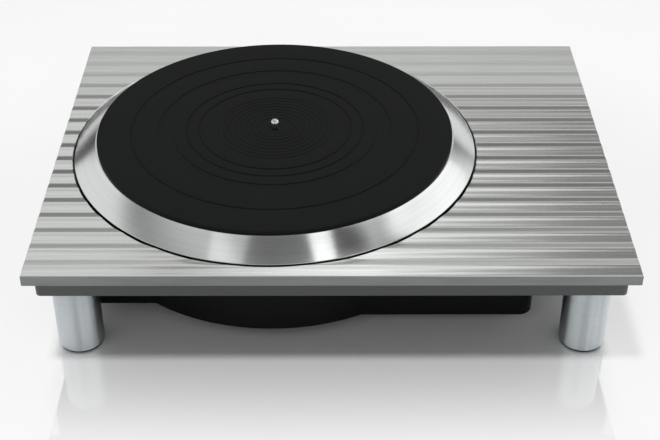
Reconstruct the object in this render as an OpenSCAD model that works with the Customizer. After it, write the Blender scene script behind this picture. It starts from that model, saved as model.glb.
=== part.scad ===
// Free-standing direct-drive turntable: a rippled metal top plate on a slab chassis, four round
// metal legs, a bevelled platter with a grooved rubber mat, and a moulded cover under the chassis
// that holds the motor and its drive electronics.
// Millimetres. The origin is on the floor under the middle of the top plate, with +X to the right,
// +Y to the back and +Z up.

/* [Top plate] */
// Metal to the left of the platter's opening
left_margin = 12.1; // [6:0.1:60]
// Metal to the right of the platter's opening
right_margin = 104.7; // [80:0.1:180]
// Metal in front of the platter's opening
front_margin = 10.5; // [6:0.1:60]
// Metal behind the platter's opening
back_margin = 6.3; // [2:0.1:60]
// Air gap between the platter's rim and the plate
well_gap = 1.6; // [1:0.1:4]
// Thickness of the plate, up to the middle of its ripples
plate_t = 9; // [8:0.5:16]
// Distance between the crests of two ripples
ripple_pitch = 20; // [12:1:40]
// Height of a ripple, from trough to crest
ripple_rise = 1; // [0.4:0.1:1.6]
// Distance of the first crest from the front edge
ripple_lead = 14.2; // [0:0.1:20]
// Sharpness of the ripples' crests: 0 is an even wave
ripple_crest = 0.5; // [0:0.1:0.8]

/* [Chassis] */
// Distance of the chassis from the plate's edges
chassis_inset = 7; // [4:0.5:14]
// Thickness of the chassis slab
chassis_h = 15; // [15:0.5:30]
// Radius of the chassis slab's upright corners
chassis_corner_r = 4; // [1:0.5:12]

/* [Legs] */
// Diameter of a leg
leg_d = 35; // [28:0.5:45]
// Height of the chassis above the floor
leg_h = 60.5; // [54:0.5:90]
// Distance of a leg from the chassis's side
leg_edge_x = 7; // [2:0.5:20]
// Distance of a leg from the chassis's front or back
leg_edge_y = 5; // [2:0.5:20]
// Chamfer on a leg's ends
leg_chamfer = 0.6; // [0.2:0.1:2]
// Room between a leg's top and the chassis
leg_gap = 0.2; // [0.1:0.1:1]
// Thickness of the rubber pad under a leg
pad_t = 1.5; // [1:0.1:4]
// Distance of the pad's edge from the leg's edge
pad_inset = 0.8; // [0.2:0.1:4]
// Diameter of the threaded stud that a leg turns on
stud_d = 8; // [6:0.5:12]
// Length of the stud below the chassis
stud_reach = 30; // [20:1:40]
// Length of the stud inside the chassis
stud_seat = 13; // [8:0.5:14]

/* [Platter] */
// Diameter of the platter
platter_d = 330; // [300:1:340]
// Height of the platter's flat top above the plate
platter_rise = 13.5; // [8:0.1:18]
// Height of the bevel's lower edge above the plate
bevel_foot = 0.7; // [0:0.1:3]
// Width of the bevel round the rim, seen from above
bevel_w = 18; // [10:0.5:30]
// Width of the heavy ring under the rim
rim_w = 18; // [12:0.5:30]
// Thickness of the platter's web
web_t = 7; // [6.5:0.5:10]
// Air between the platter's rim and the chassis
platter_clear = 2; // [1:0.1:3]
// Chamfer under the rim
rim_chamfer = 1; // [0.4:0.1:3]

/* [Mat] */
// Thickness of the rubber mat
mat_t = 3.1; // [2.5:0.1:6]
// Bare metal between the mat and the bevel
mat_lip = 1.2; // [0.5:0.1:6]
// Depth of the grooves in the mat
groove_depth = 0.6; // [0.3:0.1:1.2]
// Width of the single grooves
groove_w = 1.8; // [1:0.1:4]
// Width of the plain band round the mat's edge
outer_band_w = 28; // [20:0.5:34]
// Middle radius of the wide shallow channel
channel_r = 90; // [86:0.5:94]
// Width of the wide shallow channel
channel_w = 12.7; // [6:0.1:14]
// Radii of the two single grooves inside the channel
inner_grooves = [72.6, 62.5]; // [55:0.1:80]
// Radius of the outermost fine ring under the record's label
label_r = 47.2; // [40:0.1:54]
// Distance between the fine rings
label_pitch = 4.6; // [3:0.1:6]
// Number of fine rings
label_rings = 8; // [4:1:9]
// Width of a fine ring
label_w = 1.2; // [0.6:0.1:2]

/* [Spindle and bearing] */
// Diameter of the pin that centres a record
pin_d = 7.15; // [7:0.01:7.24]
// Height of the pin above the mat
pin_h = 8.1; // [7:0.1:20]
// Diameter of the collar that centres the mat
collar_d = 7.8; // [7.5:0.1:9.5]
// Depth of the collar's top below the mat's top
collar_drop = 1; // [0.5:0.1:2]
// Diameter of the pin's tang in the shaft
tang_d = 4.6; // [3:0.1:5.5]
// Length of the pin's tang
tang_l = 16; // [8:0.5:30]
// Radial room between the collar and the mat
mat_fit = 0.7; // [0.1:0.1:1]
// Diameter of the shaft in its bearing
shaft_d = 10; // [9:0.5:14]
// Wall of the bronze bushes
bush_wall = 3; // [2:0.5:5]
// Length of a bush
bush_l = 12; // [8:0.5:15]
// Wall of the bearing housing
housing_wall = 7; // [5:0.5:10]
// Depth of the bearing housing below the chassis
bearing_drop = 33.5; // [31:0.5:36]
// Diameter of the bearing housing's flange
bearing_flange_d = 60; // [54:1:66]
// Thickness of the bearing housing's flange
bearing_flange_t = 5; // [3:0.5:8]
// Thickness of the thrust pad
thrust_t = 4; // [2:0.5:6]
// Diameter of the thrust ball
ball_d = 6; // [4:0.5:8]
// How far the shaft's end reaches below the middle of the thrust ball
ball_grip = 1; // [0.5:0.1:1.5]
// Thickness of the bearing's end cap
cap_t = 4; // [3:0.5:6]

/* [Motor] */
// Diameter of the rotor's steel yoke
yoke_d = 168; // [150:1:180]
// Thickness of the rotor's yoke
yoke_t = 3; // [2:0.5:5]
// Thickness of the rotor's magnet ring
magnet_t = 6; // [4:0.5:8]
// Width of the magnet ring
magnet_w = 32; // [24:1:36]
// Distance of the magnet ring from the yoke's edge
magnet_inset = 2; // [1:0.5:4]
// Air gap between the magnets and the coils
air_gap = 1; // [0.6:0.1:2]
// Thickness of a stator coil
coil_t = 4; // [3:0.5:5]
// Outer diameter of a stator coil
coil_d = 36; // [28:0.5:40]
// Diameter of a coil's open centre
coil_eye_d = 12; // [9:0.5:16]
// Number of stator coils
coil_count = 9; // [6:3:9]
// Width, length and height of a hall sensor
hall_size = [4, 3, 2]; // [1:0.5:6]
// Number of hall sensors, one for each phase
hall_count = 3; // [1:1:3]
// Thickness of the stator's circuit board
stator_t = 1.6; // [1:0.1:2.4]
// Diameter of the hole in the stator's circuit board
stator_eye_d = 48; // [44:1:54]
// Margin of the stator's circuit board round the rotor
stator_margin = 4; // [3:0.5:8]
// Thickness of the stator's steel ring
iron_t = 3; // [2:0.5:4]
// Width of the stator's steel ring
iron_w = 40; // [36:1:41]
// Distance of the steel ring from the edge of the stator's circuit board
iron_inset = 2; // [1:0.5:4]
// Thickness of the motor plate's flange
motor_plate_t = 5; // [4:0.5:8]
// Width of the motor plate's flange under the chassis
motor_flange_w = 26; // [20:1:27]
// Room round the stator in the chassis's opening
opening_gap = 4; // [2:0.5:6]
// Diameter of the hub that carries the platter
hub_d = 64; // [58:1:70]
// Thickness of the hub's flange
hub_t = 5; // [4:0.5:6]
// Wall of the hub's boss round the shaft
hub_wall = 8; // [6:0.5:10]
// Length of the hub's boss below the yoke
hub_drop = 1; // [0.5:0.5:2]
// Distance between the hub's boss and the bearing housing
hub_gap = 3; // [1:0.5:4]
// Radius of the screw circles in the hub
hub_screw_r = 24; // [20:0.5:26]
// Radius of the stator's screw circle
stator_screw_r = 33; // [30:0.5:36]
// Thickness of the platter's rubber damper over the yoke
damper_t = 3; // [2:0.5:4]
// Room between the damper and the rotor
damper_gap = 3; // [2:0.5:6]
// Distance of the damper's underside above the rim's underside
damper_lift = 1.5; // [1:0.5:4]

/* [Under cover] */
// Radius of the cover's round middle
cover_r = 151; // [140:1:155]
// Depth of the cover below the chassis
cover_h = 48; // [46:0.5:52]
// Wall of the cover
cover_wall = 2.5; // [2:0.1:4]
// Distance of the cover's left wall from the chassis's left side
cover_left_inset = 18; // [14:0.5:20]
// Room between the cover's left part and the legs
cover_leg_gap = 10.5; // [2:0.5:20]
// Room between the cover's right wall and the right legs
cover_end_gap = 19.5; // [10:0.5:40]
// Half of the depth of the cover's right part
cover_right_half = 132; // [120:0.5:140]
// Radius of the cover's upright corners
cover_corner_r = 10.5; // [5:0.5:12]
// Distance of a screw boss's middle from the cover's outside
boss_inset = 8; // [7:0.5:9]
// Diameter of a screw boss
boss_d = 13; // [12:0.5:15]
// Solid length of a screw boss under the chassis
boss_grip = 10; // [6:0.5:16]
// Angle of the round part's bosses from the middle of its front and back
boss_turn = 20; // [15:1:24]

/* [Drive electronics] */
// Width of the control board
board_w = 50; // [48:1:56]
// Length of the control board
board_l = 220; // [215:1:235]
// Thickness of the control board
board_t = 1.6; // [1:0.1:2.4]
// Distance of the board from the outside of the cover's right wall
board_side = 18; // [16:0.5:24]
// Distance of the board from the inside of the cover's back wall
board_back = 1; // [0.5:0.5:3]
// Height of the posts that carry the board
post_h = 6; // [4:0.5:10]
// Diameter of the posts
post_d = 8; // [6:0.5:10]
// Distance of the posts from the board's edges
post_inset = 5; // [4.5:0.5:6]
// Width, depth and height of the power inlet
inlet_size = [28, 24, 21]; // [18:0.5:32]
// Wall of the power inlet round its socket
inlet_wall = 2.2; // [1.5:0.1:3]
// Depth of the inlet's socket
socket_depth = 17; // [15:0.5:18]
// Thickness, length and height of an inlet blade
blade_size = [2, 11, 4]; // [1:0.5:12]
// Distance of the outer blades from the middle of the inlet
blade_spread = 7; // [6:0.5:8]
// Distance of the blades above or below the middle of the inlet
blade_offset = 2; // [1:0.5:3]
// Width, depth and height of the transformer's core
core_size = [44, 18, 34]; // [16:1:46]
// Width of the core's outer legs and yokes
core_leg = 7; // [5:0.5:8]
// Diameter of the smoothing capacitors
cap_d = 18; // [12:0.5:20]
// Height of the smoothing capacitors
cap_h = 28; // [16:0.5:32]
// Width, length and height of the heat sink
sink_size = [16, 60, 28]; // [12:0.5:64]
// Thickness of the heat sink's base
sink_base = 3; // [2:0.5:5]
// Thickness of a heat sink fin
fin_t = 1.6; // [1:0.1:3]
// Number of heat sink fins
fin_count = 8; // [5:1:10]
// Thickness, width and height of a drive chip
chip_size = [4.5, 10, 16]; // [3:0.5:18]
// Number of drive chips
chip_count = 3; // [2:1:3]
// Diameter of the motor's lead
lead_d = 4; // [3:0.5:6]
// Distance of the motor's lead from the platter's axis
lead_r = 38; // [37:0.5:40]
// Width, length and height of the lead's socket
plug_size = [10, 16, 9]; // [8:0.5:18]
// Room round the motor's lead in the motor plate
lead_gap = 0.6; // [0.3:0.1:1.5]
// Width, length and height of the control chip
control_size = [16, 16, 3]; // [2:0.5:20]
// Width, length and height of the quartz crystal
crystal_size = [12, 5, 4.5]; // [3:0.5:16]

/* [Fasteners and fits] */
// Diameter of the large screws
m4_d = 4; // [3.5:0.1:5]
// Diameter of a large screw's head
m4_head_d = 7.2; // [6.5:0.1:8]
// Height of a large screw's head
m4_head_h = 2.6; // [2:0.1:4]
// Diameter of the small screws
m3_d = 3; // [2.5:0.1:3.5]
// Diameter of a small screw's head
m3_head_d = 5.4; // [5:0.1:6]
// Height of a small screw's head
m3_head_h = 2; // [1.6:0.1:3]
// Length of thread that a large screw holds by
grip_l = 8; // [6:0.5:8.5]
// Number of screws that hold the motor plate
motor_screw_count = 6; // [4:1:8]
// Number of screws in each smaller circle
screw_count = 3; // [3:1:4]
// Radial room round a screw's head in the cover
head_room = 0.5; // [0.3:0.1:1]
// Length of thread that a small screw holds by
small_grip_l = 5; // [4:0.5:5.5]
// Distance of the plate's screws from the chassis's edges
plate_screw_inset = 10; // [8:0.5:12]
// Distance of the plate's screws from the legs
plate_screw_room = 12; // [8:0.5:20]
// Radial clearance of a part that is pressed, screwed or let in
fit = 0.05; // [0.02:0.01:0.1]
// Radial clearance of a part that turns or slides
run = 0.04; // [0.02:0.01:0.08]
// Radial clearance of a screw that passes through
pass = 0.25; // [0.1:0.05:0.5]
// Room at the end of a hole or between a soft part and its neighbour
room = 0.3; // [0.2:0.1:0.6]

/* [Hidden] */
$fn = 96;
// Points on one ripple
ripple_steps = 12;
// How far a cut runs past the face that it starts from
past = 1;
// Hex socket of a screw, as shares of the screw's diameter and of its head's height
socket_w = 0.75;
socket_deep = 0.5;
// Turn of a screw circle that lies between the screws of another
half_turn = 180 / screw_count;
// Plan of the plate, the chassis and the legs
well_r = platter_d / 2 + well_gap;
plate_w = left_margin + 2 * well_r + right_margin;
plate_d = front_margin + 2 * well_r + back_margin;
axis_x = left_margin + well_r - plate_w / 2;
axis_y = front_margin + well_r - plate_d / 2;
chassis_w = plate_w - 2 * chassis_inset;
chassis_d = plate_d - 2 * chassis_inset;
leg_x = chassis_w / 2 - leg_edge_x - leg_d / 2;
leg_y = chassis_d / 2 - leg_edge_y - leg_d / 2;
// Heights above the floor
chassis_z0 = leg_h;
chassis_z1 = chassis_z0 + chassis_h;
plate_z1 = chassis_z1 + plate_t;
rim_z0 = chassis_z1 + platter_clear;
platter_z1 = plate_z1 + platter_rise;
mat_z1 = platter_z1 + mat_t;
collar_z1 = mat_z1 - collar_drop;
seat_z = platter_z1 - web_t;
hub_z0 = seat_z - hub_t;
yoke_z0 = hub_z0 - yoke_t;
magnet_z0 = yoke_z0 - magnet_t;
coil_z1 = magnet_z0 - air_gap;
coil_z0 = coil_z1 - coil_t;
stator_z0 = coil_z0 - stator_t;
iron_z0 = stator_z0 - iron_t;
motor_z0 = chassis_z0 - motor_plate_t;
boss_z0 = yoke_z0 - hub_drop;
housing_z1 = boss_z0 - hub_gap;
housing_z0 = chassis_z0 - bearing_drop;
thrust_z1 = housing_z0 + thrust_t;
ball_z = thrust_z1 + ball_d / 2 + run;
shaft_z0 = ball_z - ball_grip;
lower_bush_z0 = ball_z + ball_d / 2;
cover_z0 = chassis_z0 - cover_h;
board_z0 = cover_z0 + cover_wall + post_h;
board_z1 = board_z0 + board_t;
// Diameters of the motor and the bearing
bush_d = shaft_d + 2 * bush_wall;
housing_d = bush_d + 2 * housing_wall;
hub_boss_d = shaft_d + 2 * hub_wall;
magnet_d = yoke_d - 2 * magnet_inset;
coil_r = magnet_d / 2 - magnet_w / 2;
stator_d = yoke_d + 2 * stator_margin;
iron_d = stator_d - 2 * iron_inset;
iron_eye_d = iron_d - 2 * iron_w;
opening_d = stator_d + 2 * opening_gap;
motor_plate_d = opening_d + 2 * motor_flange_w;
motor_screw_r = opening_d / 2 + motor_flange_w / 2;
bearing_screw_r = (housing_d + bearing_flange_d) / 4;
cap_screw_r = (bush_d + housing_d) / 4;
rim_inner_d = platter_d - 2 * rim_w;
mat_d = platter_d - 2 * bevel_w - 2 * mat_lip;
// Plan of the cover and the control board
cover_x0 = -chassis_w / 2 + cover_left_inset;
cover_x1 = leg_x - leg_d / 2 - cover_end_gap;
cover_left_half = leg_y - leg_d / 2 - cover_leg_gap;
// How far each side of the cover's outline runs past the platter's axis
cover_overlap = 40;
boss_points = concat(
    [for (side = [-1, 1]) [cover_x1 - boss_inset, side * (cover_right_half - boss_inset)]],
    [for (side = [-1, 1]) [cover_x0 + boss_inset, side * (cover_left_half - boss_inset)]],
    [for (turn = [90 - boss_turn, 90 + boss_turn, 270 - boss_turn, 270 + boss_turn])
        [axis_x + (cover_r - boss_inset) * cos(turn), axis_y + (cover_r - boss_inset) * sin(turn)]]);
leg_points = [for (x = [-leg_x, leg_x], y = [-leg_y, leg_y]) [x, y]];
plate_screw_points = concat(
    [for (x = [-1, 1], y = [-1, 1])
        [x * (chassis_w / 2 - plate_screw_inset), y * (leg_y - leg_d / 2 - plate_screw_room)]],
    [for (x = [-1, 1], y = [-1, 1])
        [x * (leg_x - leg_d / 2 - 2 * plate_screw_room), y * (chassis_d / 2 - plate_screw_inset)]]);
board_x1 = cover_x1 - board_side;
board_x0 = board_x1 - board_w;
board_y1 = cover_right_half - cover_wall - board_back;
board_y0 = board_y1 - board_l;
board_x = (board_x0 + board_x1) / 2;
post_points = [for (x = [board_x0 + post_inset, board_x1 - post_inset],
                    y = [board_y0 + post_inset, board_y1 - inlet_size.y - post_d]) [x, y]];
inlet_y0 = cover_right_half - inlet_size.y;
inlet_z = board_z1 + inlet_size.z / 2;
// Spaces between the pieces on the control board, from the inlet forwards
part_room = 10;
core_y = inlet_y0 - part_room - post_d - core_size.y;
caps_y = core_y - core_size.y - part_room - cap_d / 2;
window = [(core_size.x - 3 * core_leg) / 2, core_size.z - 2 * core_leg];
sink_x0 = board_x1 - sink_size.x - room;
sink_y0 = board_y0 + post_inset + post_d;
plug_x0 = board_x0 + room;
// Route of the motor's lead, down from the stator and across to its socket
lead_sides = 8;
lead_steps = 14;
lead_from = [axis_x + lead_r, axis_y, motor_z0 - lead_d];
lead_to = [plug_x0 - room, axis_y, board_z1 + plug_size.z / 2];
lead_pull = 30;

// Shared shapes

module disc(d, z0, z1) {
    translate([0, 0, z0]) cylinder(d = d, h = z1 - z0);
}

module ring(d, eye_d, z0, z1) {
    difference() {
        disc(d, z0, z1);
        disc(eye_d, z0 - past, z1 + past);
    }
}

module block(size, x, y, z0) {
    translate([x - size.x / 2, y - size.y / 2, z0]) cube(size);
}

module at_axis() {
    translate([axis_x, axis_y, 0]) children();
}

module at_points(points) {
    for (p = points) translate([p.x, p.y, 0]) children();
}

module round_pattern(count, r, turn = 0) {
    for (i = [0 : count - 1]) rotate(turn + i * 360 / count) translate([r, 0, 0]) children();
}

// A screw that points up, with the underside of its head at height z
module screw_up(d, head_d, head_h, z, length) {
    disc(d, z, z + length);
    difference() {
        disc(head_d, z - head_h, z);
        translate([0, 0, z - head_h - past])
            cylinder(d = socket_w * d, h = past + socket_deep * head_h, $fn = 6);
    }
}

// A screw that points down, with the underside of its head at height z
module screw_down(d, head_d, head_h, z, length) {
    translate([0, 0, 2 * z]) mirror([0, 0, 1]) screw_up(d, head_d, head_h, z, length);
}

module rounded_rect(low, high, r) {
    translate([low.x + r, low.y]) square([high.x - low.x - 2 * r, high.y - low.y]);
    translate([low.x, low.y + r]) square([high.x - low.x, high.y - low.y - 2 * r]);
    for (x = [low.x + r, high.x - r], y = [low.y + r, high.y - r]) translate([x, y]) circle(r);
}

// Top plate

function ripple(y) =
    let (turn = 360 * (y - ripple_lead) / ripple_pitch)
    ripple_rise / 2 * cos(turn + ripple_crest * 180 / PI * sin(turn));

module rippled_slab() {
    count = ceil(plate_d / ripple_pitch * ripple_steps);
    crests = [for (i = [0 : count]) let (y = i * plate_d / count) [y, plate_t + ripple(y)]];
    translate([-plate_w / 2, -plate_d / 2, chassis_z1]) rotate([90, 0, 90]) linear_extrude(plate_w)
        polygon(concat([[0, 0]], crests, [[plate_d, 0]]));
}

module top_plate() {
    color("silver") difference() {
        rippled_slab();
        at_axis() disc(2 * well_r, chassis_z1 - past, plate_z1 + ripple_rise + past);
        at_points(plate_screw_points)
            disc(m4_d + 2 * fit, chassis_z1 - past, chassis_z1 + small_grip_l + room);
    }
}

// Chassis

module chassis() {
    color("dimgray") difference() {
        translate([0, 0, chassis_z0]) linear_extrude(chassis_h)
            rounded_rect([-chassis_w, -chassis_d] / 2, [chassis_w, chassis_d] / 2, chassis_corner_r);
        at_axis() {
            disc(opening_d, chassis_z0 - past, chassis_z1 + past);
            round_pattern(motor_screw_count, motor_screw_r)
                disc(m4_d + 2 * fit, chassis_z0 - past, chassis_z0 + grip_l + room);
        }
        at_points(leg_points) disc(stud_d + 2 * fit, chassis_z0 - past, chassis_z0 + stud_seat + room);
        at_points(boss_points) disc(m4_d + 2 * fit, chassis_z0 - past, chassis_z0 + grip_l + room);
        at_points(plate_screw_points) {
            disc(m4_d + 2 * pass, chassis_z0 - past, chassis_z1 + past);
            disc(m4_head_d + 2 * pass, chassis_z0 - past, chassis_z0 + m4_head_h + room);
        }
    }
}

module plate_screws() {
    z = chassis_z0 + m4_head_h + room;
    color("gray") at_points(plate_screw_points)
        screw_up(m4_d, m4_head_d, m4_head_h, z, chassis_z1 + small_grip_l - z);
}

// Under cover

module cover_outline(inset) {
    r = cover_corner_r - inset;
    left = cover_left_half - inset;
    right = cover_right_half - inset;
    translate([axis_x, axis_y]) circle(cover_r - inset);
    rounded_rect([cover_x0 + inset, -left], [axis_x + cover_overlap, left], r);
    rounded_rect([axis_x - cover_overlap, -right], [cover_x1 - inset, right], r);
}

module cover_shell() {
    difference() {
        translate([0, 0, cover_z0]) linear_extrude(cover_h) cover_outline(0);
        translate([0, 0, cover_z0 + cover_wall]) linear_extrude(cover_h) cover_outline(cover_wall);
    }
    at_points(boss_points) disc(boss_d, cover_z0, chassis_z0);
    at_points(post_points) disc(post_d, cover_z0, board_z0);
}

module under_cover() {
    head_z = chassis_z0 - boss_grip;
    opening = [inlet_size.x + 2 * fit, inlet_size.y, inlet_size.z + 2 * fit];
    color([0.08, 0.08, 0.08]) difference() {
        cover_shell();
        at_points(boss_points) {
            disc(m4_head_d + 2 * head_room, cover_z0 - past, head_z);
            disc(m4_d + 2 * pass, head_z - past, chassis_z0 + past);
        }
        at_points(post_points) disc(m3_d + 2 * fit, board_z0 - small_grip_l - room, board_z0 + past);
        block(opening, board_x, cover_right_half, inlet_z - opening.z / 2);
    }
}

module cover_screws() {
    color("black") at_points(boss_points)
        screw_up(m4_d, m4_head_d, m4_head_h, chassis_z0 - boss_grip, boss_grip + grip_l);
}

// Bearing

module bearing_housing() {
    color("darkgoldenrod") at_axis() difference() {
        union() {
            disc(housing_d, housing_z0, housing_z1);
            disc(bearing_flange_d, motor_z0 - bearing_flange_t, motor_z0);
        }
        disc(bush_d + 2 * fit, housing_z0 - past, housing_z1 + past);
        round_pattern(screw_count, bearing_screw_r)
            disc(m3_d + 2 * pass, motor_z0 - bearing_flange_t - past, motor_z0 + past);
        round_pattern(screw_count, cap_screw_r)
            disc(m3_d + 2 * fit, housing_z0 - past, housing_z0 + small_grip_l + room);
    }
}

module bearing_screws() {
    z = motor_z0 - bearing_flange_t;
    color("gray") at_axis() round_pattern(screw_count, bearing_screw_r)
        screw_up(m3_d, m3_head_d, m3_head_h, z, bearing_flange_t + small_grip_l);
}

module upper_bush() {
    color("peru") at_axis() ring(bush_d, shaft_d + 2 * run, housing_z1 - bush_l, housing_z1);
}

module lower_bush() {
    color("peru") at_axis() ring(bush_d, shaft_d + 2 * run, lower_bush_z0, lower_bush_z0 + bush_l);
}

module thrust_pad() {
    color("ivory") at_axis() disc(bush_d, housing_z0, thrust_z1);
}

module bearing_cap() {
    color("goldenrod") at_axis() difference() {
        disc(housing_d, housing_z0 - cap_t, housing_z0);
        round_pattern(screw_count, cap_screw_r)
            disc(m3_d + 2 * pass, housing_z0 - cap_t - past, housing_z0 + past);
    }
}

module cap_screws() {
    color("gray") at_axis() round_pattern(screw_count, cap_screw_r)
        screw_up(m3_d, m3_head_d, m3_head_h, housing_z0 - cap_t, cap_t + small_grip_l);
}

// Stator

module motor_plate() {
    color("lightgray") at_axis() difference() {
        union() {
            disc(motor_plate_d, motor_z0, chassis_z0);
            disc(stator_d, motor_z0, iron_z0);
            disc(iron_eye_d - 2 * fit, motor_z0, stator_z0);
        }
        disc(housing_d + 2 * fit, motor_z0 - past, stator_z0 + past);
        round_pattern(motor_screw_count, motor_screw_r)
            disc(m4_d + 2 * pass, motor_z0 - past, chassis_z0 + past);
        round_pattern(screw_count, bearing_screw_r)
            disc(m3_d + 2 * fit, motor_z0 - past, motor_z0 + small_grip_l + room);
        round_pattern(screw_count, stator_screw_r, half_turn)
            disc(m3_d + 2 * fit, stator_z0 - small_grip_l - room, stator_z0 + past);
        translate([lead_r, 0, 0]) disc(lead_d + 2 * lead_gap, motor_z0 - past, stator_z0 + past);
    }
}

module motor_screws() {
    color("gray") at_axis() round_pattern(motor_screw_count, motor_screw_r)
        screw_up(m4_d, m4_head_d, m4_head_h, motor_z0, motor_plate_t + grip_l);
}

module stator_iron() {
    color("slategray") at_axis() ring(iron_d, iron_eye_d, iron_z0, stator_z0);
}

module stator_board() {
    color("darkgreen") at_axis() difference() {
        ring(stator_d, stator_eye_d, stator_z0, coil_z0);
        round_pattern(screw_count, stator_screw_r, half_turn)
            disc(m3_d + 2 * pass, stator_z0 - past, coil_z0 + past);
    }
}

module stator_screws() {
    color("gray") at_axis() round_pattern(screw_count, stator_screw_r, half_turn)
        screw_down(m3_d, m3_head_d, m3_head_h, coil_z0, stator_t + small_grip_l);
}

module stator_coils() {
    color("orangered") at_axis() round_pattern(coil_count, coil_r)
        ring(coil_d, coil_eye_d, coil_z0, coil_z1);
}

module hall_sensors() {
    color("black") at_axis() round_pattern(hall_count, coil_r) block(hall_size, 0, 0, coil_z0);
}

// Motor lead, swept along its route

function route(t) =
    let (s = 1 - t, leave = lead_from - [0, 0, lead_pull], arrive = lead_to - [lead_pull, 0, 0])
    s * s * s * lead_from + 3 * s * s * t * leave + 3 * s * t * t * arrive + t * t * t * lead_to;

module motor_lead() {
    start = [lead_from.x, lead_from.y, stator_z0 - room];
    path = concat([start], [for (i = [0 : lead_steps]) route(i / lead_steps)]);
    last = len(path) - 1;
    rings = [for (i = [0 : last])
        let (along = path[min(i + 1, last)] - path[max(i - 1, 0)],
             across = [-along.z, 0, along.x] / norm(along))
        for (k = [0 : lead_sides - 1])
            let (turn = 360 * k / lead_sides)
            path[i] + lead_d / 2 * (cos(turn) * across + sin(turn) * [0, 1, 0])];
    sides = [for (i = [0 : last - 1], k = [0 : lead_sides - 1])
        let (a = i * lead_sides, n = (k + 1) % lead_sides)
        [a + k, a + n, a + lead_sides + n, a + lead_sides + k]];
    ends = [[for (k = [lead_sides - 1 : -1 : 0]) k],
            [for (k = [0 : lead_sides - 1]) last * lead_sides + k]];
    color("dimgray") polyhedron(points = rings, faces = concat(sides, ends));
}

// Control board and what it carries

module control_board() {
    color("seagreen") difference() {
        translate([board_x0, board_y0, board_z0]) cube([board_w, board_l, board_t]);
        at_points(post_points) disc(m3_d + 2 * pass, board_z0 - past, board_z1 + past);
    }
}

module board_screws() {
    color("gray") at_points(post_points)
        screw_down(m3_d, m3_head_d, m3_head_h, board_z1, board_t + small_grip_l);
}

module lead_socket() {
    color("ivory") translate([plug_x0, axis_y - plug_size.y / 2, board_z1]) cube(plug_size);
}

module control_chip() {
    x = board_x0 + (part_room + control_size.x) / 2;
    color("black") block(control_size, x, sink_y0 + sink_size.y / 2, board_z1);
}

module quartz_crystal() {
    color("silver") block(crystal_size, board_x, axis_y + plug_size.y, board_z1);
}

module heat_sink() {
    pitch = (sink_size.y - fin_t) / (fin_count - 1);
    color("gray") translate([sink_x0, sink_y0, board_z1]) {
        cube([sink_base, sink_size.y, sink_size.z]);
        for (i = [0 : fin_count - 1])
            translate([0, i * pitch, 0]) cube([sink_size.x, fin_t, sink_size.z]);
    }
}

module drive_chips() {
    pitch = sink_size.y / chip_count;
    x = sink_x0 - chip_size.x / 2;
    color("black") for (i = [0 : chip_count - 1])
        block(chip_size, x, sink_y0 + (i + 0.5) * pitch, board_z1);
}

module capacitors() {
    color("midnightblue") for (side = [-1, 1])
        translate([board_x + side * (cap_d + part_room) / 2, caps_y, 0])
            disc(cap_d, board_z1, board_z1 + cap_h);
}

module transformer_core() {
    color("slategray") difference() {
        block(core_size, board_x, core_y, board_z1);
        for (side = [-1, 1])
            block([window.x, core_size.y + 2 * past, window.y],
                  board_x + side * (core_leg + window.x) / 2, core_y, board_z1 + core_leg);
    }
}

module transformer_winding() {
    inner = [core_leg + 2 * fit, core_size.y + 2 * fit, window.y + 2 * past];
    outer = [core_leg + 2 * window.x - 2 * fit, core_size.y + window.x, window.y - 2 * fit];
    color("gold") difference() {
        block(outer, board_x, core_y, board_z1 + core_leg + fit);
        block(inner, board_x, core_y, board_z1 + core_leg - past);
    }
}

module power_inlet() {
    mouth = [inlet_size.x - 2 * inlet_wall, socket_depth + past, inlet_size.z - 2 * inlet_wall];
    color("black") difference() {
        block(inlet_size, board_x, inlet_y0 + inlet_size.y / 2, board_z1);
        block(mouth, board_x, cover_right_half - socket_depth + mouth.y / 2, board_z1 + inlet_wall);
    }
}

module inlet_blades() {
    y = cover_right_half - socket_depth + blade_size.y / 2;
    z0 = inlet_z - blade_size.z / 2;
    color("silver") {
        for (side = [-1, 1])
            block(blade_size, board_x + side * blade_spread, y, z0 - blade_offset);
        block(blade_size, board_x, y, z0 + blade_offset);
    }
}

// Platter and what turns with it

module platter() {
    r = platter_d / 2;
    rim_r = rim_inner_d / 2;
    bore_r = shaft_d / 2 + fit;
    foot_z = plate_z1 + bevel_foot;
    color("gainsboro") at_axis() difference() {
        rotate_extrude() polygon([[bore_r, seat_z], [bore_r, platter_z1],
            [r - bevel_w, platter_z1], [r, foot_z], [r, rim_z0 + rim_chamfer],
            [r - rim_chamfer, rim_z0], [rim_r, rim_z0], [rim_r, seat_z]]);
        round_pattern(screw_count, hub_screw_r) {
            disc(m4_d + 2 * pass, seat_z - past, platter_z1 + past);
            disc(m4_head_d + 2 * pass, platter_z1 - m4_head_h - room, platter_z1 + past);
        }
    }
}

module platter_damper() {
    step_r = yoke_d / 2 + damper_gap;
    low_z = rim_z0 + damper_lift;
    edge_r = rim_inner_d / 2 - room;
    eye_r = hub_d / 2 + room;
    color([0.12, 0.12, 0.12]) at_axis() rotate_extrude()
        polygon([[eye_r, seat_z - damper_t], [eye_r, seat_z], [edge_r, seat_z],
            [edge_r, low_z], [step_r, low_z], [step_r, seat_z - damper_t]]);
}

module rubber_mat() {
    floor_z = mat_z1 - groove_depth;
    grooves = concat([mat_d / 2 - outer_band_w], inner_grooves);
    color([0.1, 0.1, 0.1]) at_axis() difference() {
        ring(mat_d, collar_d + 2 * mat_fit, platter_z1, mat_z1);
        ring(2 * channel_r + channel_w, 2 * channel_r - channel_w, floor_z, mat_z1 + past);
        for (r = grooves) ring(2 * r + groove_w, 2 * r - groove_w, floor_z, mat_z1 + past);
        for (i = [0 : label_rings - 1]) let (r = label_r - i * label_pitch)
            ring(2 * r + label_w, 2 * r - label_w, floor_z, mat_z1 + past);
    }
}

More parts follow.
